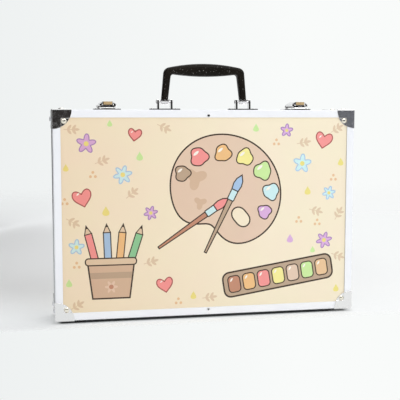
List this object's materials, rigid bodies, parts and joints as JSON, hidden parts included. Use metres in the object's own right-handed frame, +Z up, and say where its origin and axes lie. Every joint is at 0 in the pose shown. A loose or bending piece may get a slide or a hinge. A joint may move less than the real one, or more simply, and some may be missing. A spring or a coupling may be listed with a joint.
{
  "type": "painting set case",
  "caption": "Flat aluminium-framed art case that stands on its hinge edge, with a printed lid panel, corner protectors, a folding carrying handle and two latches.",
  "frame": {"origin": "middle of the footprint, on the floor under the feet", "axes": "+X along the case to the right, +Y from the lid to the back, +Z up"},
  "size_m": [0.4046, 0.064, 0.335],
  "materials": {
    "aluminium_rail": "satin anodised",
    "printed_board": "printed film on hardboard",
    "plain_board": "plain film on hardboard",
    "tray_plastic": "vacuum formed sheet",
    "foot_rubber": "moulded",
    "grip_plastic": "grained moulding",
    "rivet_steel": "nickel plated",
    "chrome_steel": "chrome plated"
  },
  "bodies": {
    "base": {"base_corner_bottom_left": "chrome_steel", "base_corner_bottom_right": "chrome_steel", "base_corner_rivets": "rivet_steel", "base_corner_top_left": "chrome_steel", "base_corner_top_right": "chrome_steel", "base_feet": "foot_rubber", "base_fitting_rivets": "rivet_steel", "base_hinge_leaf_left": "chrome_steel", "base_hinge_leaf_right": "chrome_steel", "base_panel": "plain_board", "base_rail_bottom": "aluminium_rail", "base_rail_left": "aluminium_rail", "base_rail_right": "aluminium_rail", "base_rail_top": "aluminium_rail", "base_tray": "tray_plastic", "handle_bracket_left": "chrome_steel", "handle_bracket_right": "chrome_steel", "handle_pin_left": "chrome_steel", "handle_pin_right": "chrome_steel", "hinge_pin_left": "chrome_steel", "hinge_pin_right": "chrome_steel", "latch_pin_left": "chrome_steel", "latch_pin_right": "chrome_steel", "latch_plate_left": "chrome_steel", "latch_plate_right": "chrome_steel"},
    "lid": {"latch_catch_left": "chrome_steel", "latch_catch_right": "chrome_steel", "lid_corner_bottom_left": "chrome_steel", "lid_corner_bottom_right": "chrome_steel", "lid_corner_rivets": "rivet_steel", "lid_corner_top_left": "chrome_steel", "lid_corner_top_right": "chrome_steel", "lid_feet": "foot_rubber", "lid_fitting_rivets": "rivet_steel", "lid_hinge_leaf_left": "chrome_steel", "lid_hinge_leaf_right": "chrome_steel", "lid_panel": "printed_board", "lid_rail_bottom": "aluminium_rail", "lid_rail_left": "aluminium_rail", "lid_rail_right": "aluminium_rail", "lid_rail_top": "aluminium_rail", "lid_tray": "tray_plastic"},
    "handle": {"handle_eye_left": "chrome_steel", "handle_eye_right": "chrome_steel", "handle_grip": "grip_plastic"},
    "latch_left": {"latch_lever_left": "chrome_steel"},
    "latch_right": {"latch_lever_right": "chrome_steel"}
  },
  "joints": [
    {"name": "lid_hinge", "type": "hinge", "parent": "base", "child": "lid", "pos_m": [0, -0.007, 0.0025], "axis": [1, 0, 0], "range_deg": [0, 100]},
    {"name": "handle_fold", "type": "hinge", "parent": "base", "child": "handle", "pos_m": [0, 0, 0.2851], "axis": [1, 0, 0], "range_deg": [-88, 88]},
    {"name": "latch_left_lift", "type": "hinge", "parent": "base", "child": "latch_left", "pos_m": [-0.1287, 0.013, 0.2786], "axis": [-1, 0, 0], "range_deg": [-5, 105]},
    {"name": "latch_right_lift", "type": "hinge", "parent": "base", "child": "latch_right", "pos_m": [0.1287, 0.013, 0.2786], "axis": [-1, 0, 0], "range_deg": [-5, 105]}
  ]
}
